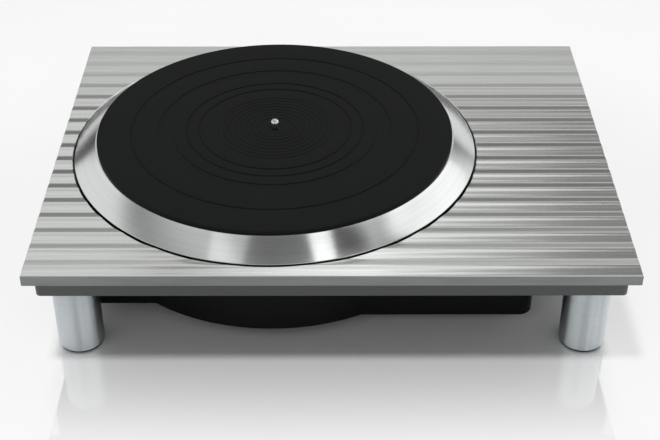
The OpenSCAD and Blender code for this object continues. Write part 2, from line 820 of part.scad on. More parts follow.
module spindle() {
    color("lightsteelblue") at_axis() difference() {
        union() {
            disc(shaft_d, shaft_z0, platter_z1);
            disc(collar_d, platter_z1 - past, collar_z1);
        }
        disc(tang_d + 2 * fit, collar_z1 - tang_l - room, collar_z1 + past);
        translate([0, 0, ball_z]) sphere(d = ball_d + 2 * fit);
    }
}

module spindle_pin() {
    tip_z = mat_z1 + pin_h - pin_d / 2;
    color("whitesmoke") at_axis() {
        disc(tang_d, collar_z1 - tang_l, collar_z1);
        disc(pin_d, collar_z1, tip_z);
        translate([0, 0, tip_z]) sphere(d = pin_d);
    }
}

module thrust_ball() {
    color("silver") at_axis() translate([0, 0, ball_z]) sphere(d = ball_d);
}

module platter_hub() {
    color("lightgray") at_axis() difference() {
        union() {
            disc(hub_d, hub_z0, seat_z);
            disc(hub_boss_d, boss_z0, seat_z);
        }
        disc(shaft_d + 2 * fit, boss_z0 - past, seat_z + past);
        round_pattern(2 * screw_count, hub_screw_r) disc(m4_d + 2 * fit, hub_z0 - past, seat_z + past);
    }
}

module platter_screws() {
    z = platter_z1 - m4_head_h - room;
    color("gray") at_axis() round_pattern(screw_count, hub_screw_r)
        screw_down(m4_d, m4_head_d, m4_head_h, z, z - hub_z0 - room);
}

module rotor_yoke() {
    color("slategray") at_axis() difference() {
        ring(yoke_d, hub_boss_d + 2 * fit, yoke_z0, hub_z0);
        round_pattern(screw_count, hub_screw_r, half_turn)
            disc(m4_d + 2 * pass, yoke_z0 - past, hub_z0 + past);
    }
}

module rotor_magnet() {
    color("darkslategray") at_axis() ring(magnet_d, magnet_d - 2 * magnet_w, magnet_z0, yoke_z0);
}

module rotor_screws() {
    color("gray") at_axis() round_pattern(screw_count, hub_screw_r, half_turn)
        screw_up(m4_d, m4_head_d, m4_head_h, yoke_z0, yoke_t + hub_t - room);
}

// Legs

module leg_studs() {
    color("gray") at_points(leg_points) disc(stud_d, chassis_z0 - stud_reach, chassis_z0 + stud_seat);
}

module leg(x, y) {
    r = leg_d / 2;
    top = chassis_z0 - leg_gap;
    c = leg_chamfer;
    color("lightsteelblue") translate([x, y, 0]) difference() {
        rotate_extrude() polygon([[0, pad_t], [r - c, pad_t], [r, pad_t + c],
            [r, top - c], [r - c, top], [0, top]]);
        disc(stud_d + 2 * run, chassis_z0 - stud_reach - past, top + past);
    }
}

module foot_pad(x, y) {
    color([0.1, 0.1, 0.1]) translate([x, y, 0]) disc(leg_d - 2 * pad_inset, 0, pad_t);
}

top_plate();
chassis();
plate_screws();
under_cover();
cover_screws();
motor_plate();
motor_screws();
bearing_housing();
bearing_screws();
upper_bush();
lower_bush();
thrust_pad();
bearing_cap();
cap_screws();
stator_iron();
stator_board();
stator_coils();
hall_sensors();
stator_screws();
motor_lead();
control_board();
board_screws();
lead_socket();
control_chip();
quartz_crystal();
drive_chips();
heat_sink();
capacitors();
transformer_core();
transformer_winding();
power_inlet();
inlet_blades();
leg_studs();
platter();
platter_damper();
rubber_mat();
spindle();
spindle_pin();
thrust_ball();
platter_hub();
platter_screws();
rotor_yoke();
rotor_magnet();
rotor_screws();
leg(-leg_x, -leg_y);  // leg_front_left
leg(leg_x, -leg_y);  // leg_front_right
leg(-leg_x, leg_y);  // leg_rear_left
leg(leg_x, leg_y);  // leg_rear_right
foot_pad(-leg_x, -leg_y);  // foot_pad_front_left
foot_pad(leg_x, -leg_y);  // foot_pad_front_right
foot_pad(-leg_x, leg_y);  // foot_pad_rear_left
foot_pad(leg_x, leg_y);  // foot_pad_rear_right
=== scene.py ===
"""Studio scene of a free-standing direct-drive turntable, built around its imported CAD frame."""

import math

import bmesh
import bpy
import numpy as np
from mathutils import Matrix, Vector


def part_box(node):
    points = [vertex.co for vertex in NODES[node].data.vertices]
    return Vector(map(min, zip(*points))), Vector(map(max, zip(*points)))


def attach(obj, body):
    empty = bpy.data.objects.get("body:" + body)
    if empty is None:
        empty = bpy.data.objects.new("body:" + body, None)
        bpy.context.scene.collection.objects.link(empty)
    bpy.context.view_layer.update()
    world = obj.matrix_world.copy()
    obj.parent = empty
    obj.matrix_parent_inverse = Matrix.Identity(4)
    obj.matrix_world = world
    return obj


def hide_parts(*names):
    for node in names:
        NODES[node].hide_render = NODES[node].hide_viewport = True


MM = 0.001
SCENE = bpy.context.scene
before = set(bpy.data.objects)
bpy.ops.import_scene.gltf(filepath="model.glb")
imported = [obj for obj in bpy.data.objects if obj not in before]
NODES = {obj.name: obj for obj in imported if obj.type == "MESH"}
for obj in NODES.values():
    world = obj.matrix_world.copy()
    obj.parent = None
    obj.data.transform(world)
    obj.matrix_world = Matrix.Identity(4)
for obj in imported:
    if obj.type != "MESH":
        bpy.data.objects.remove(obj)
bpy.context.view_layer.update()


def box_mm(node):
    """Lowest and highest corner of a CAD node in millimetres."""
    low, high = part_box(node)
    return np.array(low) / MM, np.array(high) / MM


# Sizes in millimetres, taken from the CAD nodes
PLATE_LOW, PLATE_HIGH = box_mm("top_plate")
PLATTER_LOW, PLATTER_HIGH = box_mm("platter")
MAT_LOW, MAT_HIGH = box_mm("rubber_mat")
PIN_LOW, PIN_HIGH = box_mm("spindle_pin")
AXIS = (PLATTER_LOW + PLATTER_HIGH)[:2] / 2
RIM_R = (PLATTER_HIGH - PLATTER_LOW)[0] / 2
PLATTER_TOP = PLATTER_HIGH[2]

# Sizes in millimetres that the nodes' boxes don't show
WELL_GAP = 1.6
WELL_R = RIM_R + WELL_GAP
RIPPLE_PITCH, RIPPLE_LEAD, RIPPLE_HALF = 20.0, 12.1, 0.5
PLATE_TOP = PLATE_HIGH[2] - RIPPLE_HALF
EDGE = 0.45

# Steps round a turned piece
RIM_STEPS, LEG_STEPS, PAD_STEPS, PIN_STEPS, HOLE_STEPS = 384, 160, 128, 96, 48

CORNERS = ("front_left", "front_right", "rear_left", "rear_right")


# Camera

# Focal length and picture width in pixels, place in millimetres, angles in degrees
FOCAL_PX, PHOTO_WIDTH_PX = 1293.0, 660.0
CAMERA_AT = (-2.5, -908.9, 659.2)
CAMERA_DIP, CAMERA_TURN = 35.59, -0.094
SENSOR_MM = 36.0
CLIP_START_M, CLIP_END_M = 0.05, 200.0


def make_camera():
    data = bpy.data.cameras.new("camera")
    data.sensor_width = SENSOR_MM
    data.lens = SENSOR_MM * FOCAL_PX / PHOTO_WIDTH_PX
    data.clip_start, data.clip_end = CLIP_START_M, CLIP_END_M
    cam = bpy.data.objects.new("camera", data)
    cam.location = [c * MM for c in CAMERA_AT]
    cam.rotation_euler = (math.radians(90 - CAMERA_DIP), 0, math.radians(CAMERA_TURN))
    SCENE.collection.objects.link(cam)
    SCENE.camera = cam


# Mesh helpers


def new_object(name, verts, faces):
    mesh = bpy.data.meshes.new(name)
    mesh.from_pydata([tuple(v) for v in verts], [], faces)
    mesh.update()
    obj = bpy.data.objects.new(name, mesh)
    SCENE.collection.objects.link(obj)
    return obj


def shade(obj, degrees=30):
    """Smooth shading that breaks at edges sharper than this angle, with all faces turned outwards."""
    limit = math.radians(degrees)
    bm = bmesh.new()
    bm.from_mesh(obj.data)
    bmesh.ops.recalc_face_normals(bm, faces=bm.faces)
    for e in bm.edges:
        e.smooth = len(e.link_faces) != 2 or e.calc_face_angle(0) < limit
    for f in bm.faces:
        f.smooth = True
    bm.to_mesh(obj.data)
    bm.free()


def fillet(profile):
    """A closed profile [(r, z, radius)] as [(r, z)], with each corner rounded by its radius."""
    steps, most_of_side = 4, 0.48
    out = []
    for i, (x, z, r) in enumerate(profile):
        p = np.array((x, z))
        a = np.array(profile[i - 1][:2]) - p
        b = np.array(profile[(i + 1) % len(profile)][:2]) - p
        if r <= 0:
            out.append((x, z))
            continue
        la, lb = np.linalg.norm(a), np.linalg.norm(b)
        a, b = a / la, b / lb
        half = math.acos(max(-1, min(1, float(a @ b)))) / 2
        reach = min(r / math.tan(half), most_of_side * la, most_of_side * lb)
        r = reach * math.tan(half)
        centre = p + (a + b) / np.linalg.norm(a + b) * (r / math.sin(half))
        s, e = p + a * reach - centre, p + b * reach - centre
        start = math.atan2(s[1], s[0])
        turn = (math.atan2(e[1], e[0]) - start + math.pi) % (2 * math.pi) - math.pi
        for k in range(steps + 1):
            t = start + turn * k / steps
            out.append((centre[0] + r * math.cos(t), centre[1] + r * math.sin(t)))
    return out


def lathe(name, profile, at, steps=RIM_STEPS):
    """A closed profile [(r, z, corner radius)] in mm, turned about the upright line at (x, y)."""
    on_axis = 1e-6
    verts, rows = [], []
    for r, z in fillet(profile):
        first = len(verts)
        count = steps if r > on_axis else 1
        for k in range(count):
            t = 2 * math.pi * k / steps
            verts.append((at[0] + r * math.cos(t), at[1] + r * math.sin(t), z))
        rows.append([first + k % count for k in range(steps)])
    faces = []
    for a, b in zip(rows, rows[1:] + rows[:1]):
        for k in range(steps):
            n = (k + 1) % steps
            face = list(dict.fromkeys((a[k], a[n], b[n], b[k])))
            if len(face) > 2:
                faces.append(face)
    obj = new_object(name, np.array(verts) * MM, faces)
    shade(obj)
    return obj


def bored(obj, cutters):
    """Takes these cutters away from obj and removes them."""
    for c in cutters:
        m = obj.modifiers.new("bore", "BOOLEAN")
        m.operation, m.object, m.solver = "DIFFERENCE", c, "EXACT"
    graph = bpy.context.evaluated_depsgraph_get()
    mesh = bpy.data.meshes.new_from_object(obj.evaluated_get(graph))
    obj.modifiers.clear()
    obj.data = mesh
    for c in cutters:
        bpy.data.objects.remove(c)
    shade(obj)


def stand_in(obj, node, body):
    """obj takes a CAD node's place on its body, with that node's finish."""
    slot = SLOT_OF[node]
    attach(obj, body)
    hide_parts(node)
    obj.data.materials.clear()
    obj.data.materials.append(MATERIALS[slot])


# Material helpers

# Sockets of a Mix node that blends colours
MIX_SHARE, MIX_A, MIX_B, MIX_RESULT = 0, 6, 7, 2
# Where most values of a noise texture lie, and nearly all of them
MOST, NEARLY_ALL = (0.3, 0.7), (0.25, 0.75)
# Turn of a brushed highlight that stretches it across the brushing
QUARTER_TURN = 0.25


class Shader:
    """A Principled material with short calls for its nodes."""

    def __init__(self, name, **values):
        self.mat = bpy.data.materials.new(name)
        self.mat.use_nodes = True
        self.tree = self.mat.node_tree
        self.bsdf = self.tree.nodes["Principled BSDF"]
        for key, value in values.items():
            self.bsdf.inputs[key.replace("_", " ")].default_value = value

    def add(self, kind, **values):
        node = self.tree.nodes.new(kind)
        for key, value in values.items():
            setattr(node, key, value)
        return node

    def link(self, a, b):
        self.tree.links.new(a, b)

    def to(self, output, socket):
        self.link(output, self.bsdf.inputs[socket])

    def coords(self, scale=(1, 1, 1), offset=(0, 0, 0)):
        """Object coordinates in metres, times scale, plus offset."""
        source = self.add("ShaderNodeTexCoord")
        mapping = self.add("ShaderNodeMapping")
        mapping.inputs["Scale"].default_value = scale
        mapping.inputs["Location"].default_value = offset
        self.link(source.outputs["Object"], mapping.inputs["Vector"])
        return mapping.outputs["Vector"]

    def noise(self, vector, scale, detail=3.0, rough=0.5):
        node = self.add("ShaderNodeTexNoise")
        node.inputs["Scale"].default_value = scale
        node.inputs["Detail"].default_value = detail
        node.inputs["Roughness"].default_value = rough
        self.link(vector, node.inputs["Vector"])
        return node.outputs["Fac"]

    def math(self, kind, a, b=None):
        node = self.add("ShaderNodeMath", operation=kind)
        for socket, value in zip(node.inputs, (a, b)):
            if isinstance(value, (int, float)):
                socket.default_value = value
            elif value is not None:
                self.link(value, socket)
        return node.outputs[0]

    def times(self, *factors):
        product = factors[0]
        for factor in factors[1:]:
            product = self.math("MULTIPLY", product, factor)
        return product

    def ramp(self, value, low, high, to_low=0.0, to_high=1.0, smooth=False):
        kind = "SMOOTHSTEP" if smooth else "LINEAR"
        node = self.add("ShaderNodeMapRange", interpolation_type=kind)
        numbers = {"From Min": low, "From Max": high, "To Min": to_low, "To Max": to_high}
        for key, number in numbers.items():
            node.inputs[key].default_value = number
        self.link(value, node.inputs["Value"])
        return node.outputs["Result"]

    def mix(self, value, a, b):
        """Colour a where value is 0 and colour b where it is 1."""
        node = self.add("ShaderNodeMix", data_type="RGBA")
        self.link(value, node.inputs[MIX_SHARE])
        for index, colour in ((MIX_A, a), (MIX_B, b)):
            if isinstance(colour, tuple):
                node.inputs[index].default_value = (*colour, 1)
            else:
                self.link(colour, node.inputs[index])
        return node.outputs[MIX_RESULT]

    def mix_shaders(self, share, a, b):
        """Shader a where share is 0 and shader b where it is 1."""
        node = self.add("ShaderNodeMixShader")
        for socket, output in zip(node.inputs, (share, a, b)):
            self.link(output, socket)
        return node.outputs[0]

    def tint(self, value, colour, darkest, palest):
        """Base colour between two tones of one colour."""
        self.to(self.mix(value, tone(colour, darkest), tone(colour, palest)), "Base Color")

    def roughness(self, rough, fine, spread, cloud, drift):
        """Roughness that varies by spread with a fine texture and by drift with a coarse one."""
        varied = self.ramp(fine, *MOST, rough - spread, rough + spread)
        self.to(self.math("ADD", varied, self.ramp(cloud, *MOST, *drift)), "Roughness")

    def turned(self):
        """Brushing that runs round an upright axis."""
        tangent = self.add("ShaderNodeTangent", direction_type="RADIAL", axis="Z")
        self.to(tangent.outputs["Tangent"], "Tangent")

    def bump(self, height, strength, distance):
        node = self.add("ShaderNodeBump")
        node.inputs["Strength"].default_value = strength
        node.inputs["Distance"].default_value = distance
        self.link(height, node.inputs["Height"])
        self.to(node.outputs["Normal"], "Normal")

    def split(self, vector):
        node = self.add("ShaderNodeSeparateXYZ")
        self.link(vector, node.inputs[0])
        return node.outputs

    def join(self, x, y, z):
        node = self.add("ShaderNodeCombineXYZ")
        for socket, value in zip(node.inputs, (x, y, z)):
            if isinstance(value, (int, float)):
                socket.default_value = value
            else:
                self.link(value, socket)
        return node.outputs[0]

    def radius(self, centre):
        """Distance in metres from an upright line."""
        x, y, _ = self.split(self.coords(offset=(-centre[0] * MM, -centre[1] * MM, 0)))
        return self.math("SQRT", self.math("ADD", self.times(x, x), self.times(y, y)))

    def facing_up(self):
        """1 where the surface faces up or down, 0 where it stands upright."""
        upright, level = 0.3, 0.6
        z = self.split(self.add("ShaderNodeTexCoord").outputs["Normal"])[2]
        return self.ramp(self.math("ABSOLUTE", z), upright, level, smooth=True)


def tone(colour, factor):
    return tuple(min(1.0, c * factor) for c in colour)


# Materials


def plate_material():
    """Satin aluminium, brushed along X, with painted shade on its upright sides."""
    s = Shader("plate_brushed", Metallic=1.0, Anisotropic=0.6, Anisotropic_Rotation=QUARTER_TURN)
    long_per_m, fine_per_m = (7, 900, 60), (26, 3400, 200)
    long_share, fine_share = 0.6, 0.4
    long_streaks = s.noise(s.coords(long_per_m), 1.0, 4, 0.6)
    fine_streaks = s.noise(s.coords(fine_per_m), 1.0, 2, 0.5)
    cloud = s.noise(s.coords(), 14, 2)
    streaks = s.math("ADD", s.times(long_streaks, long_share), s.times(fine_streaks, fine_share))
    level = s.ramp(streaks, *MOST)
    top = s.mix(level, (0.70, 0.715, 0.695), (0.86, 0.875, 0.85))
    # Painted shade: the upright sides get a far darker copy of the top's colour, as if they lay in shade.
    side = s.mix(level, (0.17, 0.175, 0.175), (0.24, 0.245, 0.245))
    s.to(s.mix(s.facing_up(), side, top), "Base Color")
    s.roughness(0.135, streaks, -0.015, cloud, (0, 0.015))
    tangent = s.add("ShaderNodeTangent", direction_type="UV_MAP", uv_map="brush")
    s.to(tangent.outputs["Tangent"], "Tangent")
    s.bump(streaks, 0.05, 0.4 * MM)
    return s.mat


def spun_material(name, centre, colour, rough, anisotropic):
    """Metal turned on a lathe: fine grooves run round an upright axis."""
    s = Shader(name, Metallic=1.0, Anisotropic=anisotropic, Anisotropic_Rotation=QUARTER_TURN)
    grooves_per_m, bands_per_m = 1 / (0.7 * MM), 0.12 / (0.7 * MM)
    z = s.split(s.coords())[2]
    along = s.join(s.math("ADD", s.radius(centre), z), 0, 0)
    grooves = s.noise(along, grooves_per_m, 3, 0.6)
    bands = s.noise(along, bands_per_m, 2)
    cloud = s.noise(s.coords(), 30, 3)
    s.tint(s.ramp(grooves, *MOST), colour, 0.95, 1.03)
    s.roughness(rough, bands, 0.03, cloud, (-0.01, 0.015))
    s.turned()
    s.bump(grooves, 0.1, 0.2 * MM)
    return s.mat


def leg_material(name, colour, rough):
    """Satin aluminium turned in fine rings, which stretch its highlights upright."""
    s = Shader(name, Metallic=1.0, Anisotropic=1.0, Anisotropic_Rotation=QUARTER_TURN)
    rings_per_m = (4, 4, 2600)
    rings = s.noise(s.coords(rings_per_m), 1.0, 3, 0.6)
    cloud = s.noise(s.coords(), 25, 2)
    s.tint(s.ramp(rings, *MOST), colour, 0.94, 1.05)
    s.roughness(rough, rings, 0.03, cloud, (-0.015, 0.015))
    s.turned()
    s.bump(rings, 0.04, 0.2 * MM)
    return s.mat


def satin_metal(name, colour, rough, metallic=1.0, grain=(60, 60, 60)):
    """Blasted or brushed metal with a fine grain."""
    s = Shader(name, Metallic=metallic)
    fine = s.noise(s.coords(grain), 40, 3, 0.6)
    cloud = s.noise(s.coords(), 18, 3)
    s.tint(s.ramp(fine, *NEARLY_ALL), colour, 0.9, 1.08)
    s.roughness(rough, fine, 0.04, cloud, (-0.02, 0.03))
    s.bump(fine, 0.06, 0.2 * MM)
    return s.mat


def rubber(name, colour, rough, specular=0.2):
    """Moulded rubber: fine pores and faint dust."""
    s = Shader(name, Specular_IOR_Level=specular)
    pores = s.noise(s.coords(), 2600, 2, 0.6)
    cloud = s.noise(s.coords(), 24, 4, 0.6)
    s.tint(s.ramp(cloud, *NEARLY_ALL), colour, 0.85, 1.2)
    s.roughness(rough, pores, 0.06, cloud, (-0.03, 0.04))
    s.bump(pores, 0.12, 0.2 * MM)
    return s.mat


def plastic(name, colour, rough, grain=1500, specular=0.45):
    """Moulded plastic with a fine spark-eroded grain."""
    s = Shader(name, Specular_IOR_Level=specular)
    cells = s.add("ShaderNodeTexVoronoi")
    cells.inputs["Scale"].default_value = grain
    s.link(s.coords(), cells.inputs["Vector"])
    cloud = s.noise(s.coords(), 20, 3)
    s.tint(s.ramp(cloud, *MOST), colour, 0.88, 1.12)
    s.to(s.ramp(cloud, *MOST, rough - 0.05, rough + 0.05), "Roughness")
    s.bump(cells.outputs["Distance"], 0.1, 0.2 * MM)
    return s.mat


def circuit_board(name):
    """Green solder mask with copper lines under it."""
    s = Shader(name, Specular_IOR_Level=0.5, Roughness=0.35)
    turns_per_m = 900
    mask, over_copper = (0.012, 0.085, 0.035), (0.03, 0.16, 0.06)
    x = s.split(s.coords())[0]
    cells = s.noise(s.coords((1, 1, 0)), 240, 0)
    lines = s.math("SINE", s.times(s.math("ADD", x, cells), turns_per_m))
    s.to(s.mix(s.ramp(lines, 0.55, 0.7), mask, over_copper), "Base Color")
    s.bump(s.ramp(lines, 0.5, 0.7), 0.1, 0.1 * MM)
    return s.mat


def wound(name, colour, pitch, metallic=0.0, rough=0.4):
    """Fine turns of wire or tape, seen as lines round an upright axis."""
    s = Shader(name, Metallic=metallic)
    z = s.split(s.coords())[2]
    turns = s.math("SINE", s.times(z, 2 * math.pi / pitch))
    cloud = s.noise(s.coords(), 60, 3)
    s.tint(s.ramp(turns, -1, 1), colour, 0.7, 1.1)
    s.to(s.ramp(cloud, *MOST, rough - 0.06, rough + 0.06), "Roughness")
    s.bump(turns, 0.3, pitch / 4)
    return s.mat


def material_by_slot():
    along_x = (6, 60, 60)
    return {
        "plate_metal": plate_material(),
        "chassis_metal": satin_metal("chassis_satin", (0.095, 0.1, 0.1), 0.42, grain=along_x),
        "leg_metal": leg_material("leg_satin", (0.7, 0.744, 0.771), 0.42),
        "platter_metal": spun_material("platter_spun", AXIS, (0.86, 0.87, 0.87), 0.16, 0.85),
        "mat_rubber": rubber("mat_rubber", (0.006, 0.0068, 0.0064), 0.6, specular=0.13),
        "damper_rubber": rubber("damper_rubber", (0.02, 0.02, 0.02), 0.75),
        "pad_rubber": rubber("pad_rubber", (0.018, 0.018, 0.02), 0.7),
        "cover_plastic": plastic("cover_plastic", (0.0027, 0.003, 0.003), 0.5, specular=0.1),
        "steel": satin_metal("zinc_steel", (0.55, 0.55, 0.53), 0.35),
        "spindle_steel": satin_metal("ground_steel", (0.78, 0.79, 0.8), 0.14),
        "bronze": satin_metal("bush_bronze", (0.62, 0.38, 0.18), 0.38),
        "copper": wound("coil_copper", (0.78, 0.32, 0.14), 0.5 * MM, metallic=1.0, rough=0.3),
        "magnet": satin_metal("magnet_ferrite", (0.05, 0.05, 0.055), 0.55, metallic=0.4),
        "motor_metal": satin_metal("motor_aluminium", (0.7, 0.71, 0.72), 0.36),
        "circuit_board": circuit_board("solder_mask"),
        "chip_plastic": plastic("chip_plastic", (0.014, 0.014, 0.015), 0.42, grain=2500),
        "pale_plastic": plastic("pale_plastic", (0.72, 0.69, 0.6), 0.4),
        "capacitor_sleeve": plastic("capacitor_sleeve", (0.012, 0.02, 0.07), 0.3),
        "winding_tape": wound("winding_tape", (0.62, 0.44, 0.08), 3 * MM),
        "lead_sheath": plastic("lead_sheath", (0.05, 0.05, 0.052), 0.5),
    }


# Top plate

# Lean of the ripple's wave and of its flanks, as sine and cosine parts of its phase
LEAN_SIN, LEAN_COS, FLANK_SIN, FLANK_COS = 0.16, 0.25, 0.17, -0.11
# Share of the ripple's height at these depths in mm behind the front edge
CALM_DEPTH = (0, 120, 160, 240, 280, 310, 350)
CALM_SHARE = (0.58, 0.96, 0.96, 0.6, 0.22, 0.08, 0.04)
# Rows and columns of the top's grid
PLATE_ROWS, LEFT_COLUMNS, RIGHT_COLUMNS = 400, 40, 52
# Room for rounding in mm when a point is sought at an edge
SLACK = 0.01


def plate_height(y):
    """Height of the top in mm: ripples with narrow crests and steep fronts, calmer at both ends."""
    depth = y - PLATE_LOW[1]
    turn = 2 * math.pi * (depth - RIPPLE_LEAD) / RIPPLE_PITCH
    lean = LEAN_SIN * np.sin(turn) + LEAN_COS * (1 - np.cos(turn))
    flank = FLANK_SIN * np.sin(2 * turn) + FLANK_COS * (1 - np.cos(2 * turn))
    calm = np.interp(depth, CALM_DEPTH, CALM_SHARE)
    return PLATE_TOP + RIPPLE_HALF * calm * np.cos(turn + lean + flank)


def plate_rows():
    """Rows of the plate's grid, closer together where the opening's edge runs along X."""
    arc_degrees, row_room = 40, 0.12
    low, high = PLATE_LOW[1] + EDGE, PLATE_HIGH[1] - EDGE
    even = np.linspace(low, high, PLATE_ROWS)
    arc = np.arange(arc_degrees + 1.0)
    turns = np.radians(np.concatenate([arc, 180 - arc]))
    near = AXIS[1] - (WELL_R + EDGE) * np.cos(turns)
    even = [y for y in even if np.abs(near - y).min() > row_room]
    return np.sort(np.concatenate([even, near[(near > low) & (near < high)]]))


def plate_top():
    """The rippled top as two grids, left and right of the opening, that meet in front of and behind it."""
    rows = plate_rows()
    half = np.sqrt(np.maximum(0, (WELL_R + EDGE) ** 2 - (rows - AXIS[1]) ** 2))
    sides = ((PLATE_LOW[0] + EDGE, -1, LEFT_COLUMNS), (PLATE_HIGH[0] - EDGE, 1, RIGHT_COLUMNS))
    verts, faces = [], []
    for outer, side, count in sides:
        inner = AXIS[0] + side * half
        t = np.linspace(0, 1, count + 1)
        x = outer + (inner - outer)[:, None] * t
        y = np.repeat(rows[:, None], count + 1, axis=1)
        index = len(verts) + np.arange(x.size).reshape(x.shape)
        verts.extend(np.stack([x, y, plate_height(y)], -1).reshape(-1, 3))
        quads = np.stack([index[:-1, :-1], index[:-1, 1:], index[1:, 1:], index[1:, :-1]], -1)
        faces.extend(quads.reshape(-1, 4).tolist())
    return new_object("rippled_top_plate", np.array(verts) * MM, faces)


def draw_out(bm, edges, place):
    """Draws a rim out into a new ring of faces, with its points moved by place, and returns the new rim."""
    made = bmesh.ops.extrude_edge_only(bm, edges=edges)["geom"]
    for v in made:
        if isinstance(v, bmesh.types.BMVert):
            v.co = place(v.co)
    return [e for e in made if isinstance(e, bmesh.types.BMEdge) and e.is_boundary]


def over_edge(co):
    """A rim point of the plate's top moved out and down by the edge's chamfer."""
    p = Vector(co) / MM
    middle = Vector((*AXIS, p.z))
    out = p - middle
    if out.length < WELL_R + EDGE + SLACK:
        p = middle + out * (1 - EDGE / out.length)
    else:
        for axis in (0, 1):
            if min(p[axis] - PLATE_LOW[axis], PLATE_HIGH[axis] - p[axis]) < EDGE + SLACK:
                p[axis] += math.copysign(EDGE, p[axis])
    p.z -= EDGE
    return p * MM


def make_plate():
    merge_m, sliver_m, crease_degrees = 1e-6, 1e-7, 24
    obj = plate_top()
    bm = bmesh.new()
    bm.from_mesh(obj.data)
    bmesh.ops.remove_doubles(bm, verts=bm.verts, dist=merge_m)
    bmesh.ops.dissolve_degenerate(bm, dist=sliver_m, edges=bm.edges)
    rim = draw_out(bm, [e for e in bm.edges if e.is_boundary], over_edge)
    rim = draw_out(bm, rim, lambda co: Vector((co.x, co.y, PLATE_LOW[2] * MM)))
    bmesh.ops.triangle_fill(bm, use_beauty=True, edges=rim)
    bm.to_mesh(obj.data)
    bm.free()
    shade(obj, crease_degrees)
    brush_map(obj)
    stand_in(obj, "top_plate", "plinth")


def brush_map(obj):
    """A map whose U runs along the brushing: along X, or along Y on the faces that look along X."""
    layer = obj.data.uv_layers.new(name="brush")
    for face in obj.data.polygons:
        end = abs(face.normal.x) > 0.5
        for loop in face.loop_indices:
            x, y, z = obj.data.vertices[obj.data.loops[loop].vertex_index].co
            layer.data[loop].uv = (y, z) if end else (x, y + z)


# Turned pieces


def make_platter():
    bevel_w, bevel_foot, rim_w, web, eye_r, foot_chamfer = 18.0, 85.2, 18.0, 7.0, 5.05, 1.0
    screw_r, screw_count, hole_r, head_r, head_deep, past = 24.0, 3, 2.25, 3.85, 2.9, 1.0
    low, top = PLATTER_LOW[2], PLATTER_TOP
    profile = [
        (eye_r, top - web, 0),
        (eye_r, top, 0.2),
        (RIM_R - bevel_w, top, 0.5),
        (RIM_R, bevel_foot, 0.45),
        (RIM_R, low + foot_chamfer, 0.3),
        (RIM_R - foot_chamfer, low, 0.3),
        (RIM_R - rim_w, low, 0.5),
        (RIM_R - rim_w, top - web, 0.5),
    ]
    hole = [
        (0, top - web - past, 0),
        (hole_r, top - web - past, 0),
        (hole_r, top - head_deep, 0),
        (head_r, top - head_deep, 0),
        (head_r, top + past, 0),
        (0, top + past, 0),
    ]
    cutters = []
    for k in range(screw_count):
        t = 2 * math.pi * k / screw_count
        at = (AXIS[0] + screw_r * math.cos(t), AXIS[1] + screw_r * math.sin(t))
        cutters.append(lathe("cutter", hole, at, HOLE_STEPS))
    obj = lathe("spun_platter", profile, AXIS)
    bored(obj, cutters)
    stand_in(obj, "platter", "platter")


def make_mat():
    eye_r, rounding = 3.95, 0.25
    groove_w, groove_deep, groove_inset, groove_r = 1.8, 0.6, 28.0, (72.6, 62.5)
    band_r, band_w = 90.0, 12.7
    ring_r, ring_pitch, ring_count, ring_w, ring_deep = 47.2, 4.6, 8, 1.2, 0.3
    top, bottom, edge = MAT_HIGH[2], MAT_LOW[2], (MAT_HIGH - MAT_LOW)[0] / 2
    cuts = [(edge - groove_inset, groove_w, groove_deep), (band_r, band_w, groove_deep)]
    cuts += [(r, groove_w, groove_deep) for r in groove_r]
    cuts += [(ring_r - ring_pitch * i, ring_w, ring_deep) for i in range(ring_count)]
    profile = [(eye_r, bottom, 0), (edge, bottom, 0.3), (edge, top, 1.1)]
    for r, w, depth in cuts:
        profile += [
            (r + w / 2, top, rounding),
            (r + w / 2, top - depth, rounding / 2),
            (r - w / 2, top - depth, rounding / 2),
            (r - w / 2, top, rounding),
        ]
    profile.append((eye_r, top, 0.3))
    stand_in(lathe("grooved_mat", profile, AXIS), "rubber_mat", "platter")


def make_pin():
    r, tang_r, sunk, tip_degrees = 3.575, 2.3, 1.0, 10
    tip, base, foot = PIN_HIGH[2], MAT_HIGH[2] - sunk, PIN_LOW[2]
    profile = [(0, foot, 0), (tang_r, foot, 0.2), (tang_r, base, 0), (r, base, 0.1), (r, tip - r, 0)]
    for t in np.radians(np.arange(tip_degrees, 90, tip_degrees)):
        profile.append((r * math.cos(t), tip - r + r * math.sin(t), 0))
    profile.append((0, tip, 0))
    stand_in(lathe("record_pin", profile, AXIS, PIN_STEPS), "spindle_pin", "platter")


def make_leg(corner):
    low, high = box_mm("leg_" + corner)
    at, r = (low + high)[:2] / 2, (high - low)[0] / 2
    chamfer, bore_r, bore_deep = 0.6, 4.04, 30.8
    profile = [
        (0, low[2], 0),
        (r - chamfer, low[2], 0.1),
        (r, low[2] + chamfer, 0.5),
        (r, high[2] - chamfer, 0.5),
        (r - chamfer, high[2], 0.1),
        (bore_r, high[2], 0.2),
        (bore_r, high[2] - bore_deep, 0.1),
        (0, high[2] - bore_deep, 0),
    ]
    leg = lathe("turned_leg_" + corner, profile, at, LEG_STEPS)
    stand_in(leg, "leg_" + corner, corner + "_leg")


def make_pad(corner):
    low, high = box_mm("foot_pad_" + corner)
    at, r = (low + high)[:2] / 2, (high - low)[0] / 2
    profile = [(0, low[2], 0), (r, low[2], 0.35), (r, high[2], 0.2), (0, high[2], 0)]
    pad = lathe("moulded_pad_" + corner, profile, at, PAD_STEPS)
    stand_in(pad, "foot_pad_" + corner, corner + "_leg")


# CAD nodes that stay


def dress_nodes():
    for name, obj in NODES.items():
        obj.data.materials.clear()
        obj.data.materials.append(MATERIALS[SLOT_OF[name]])


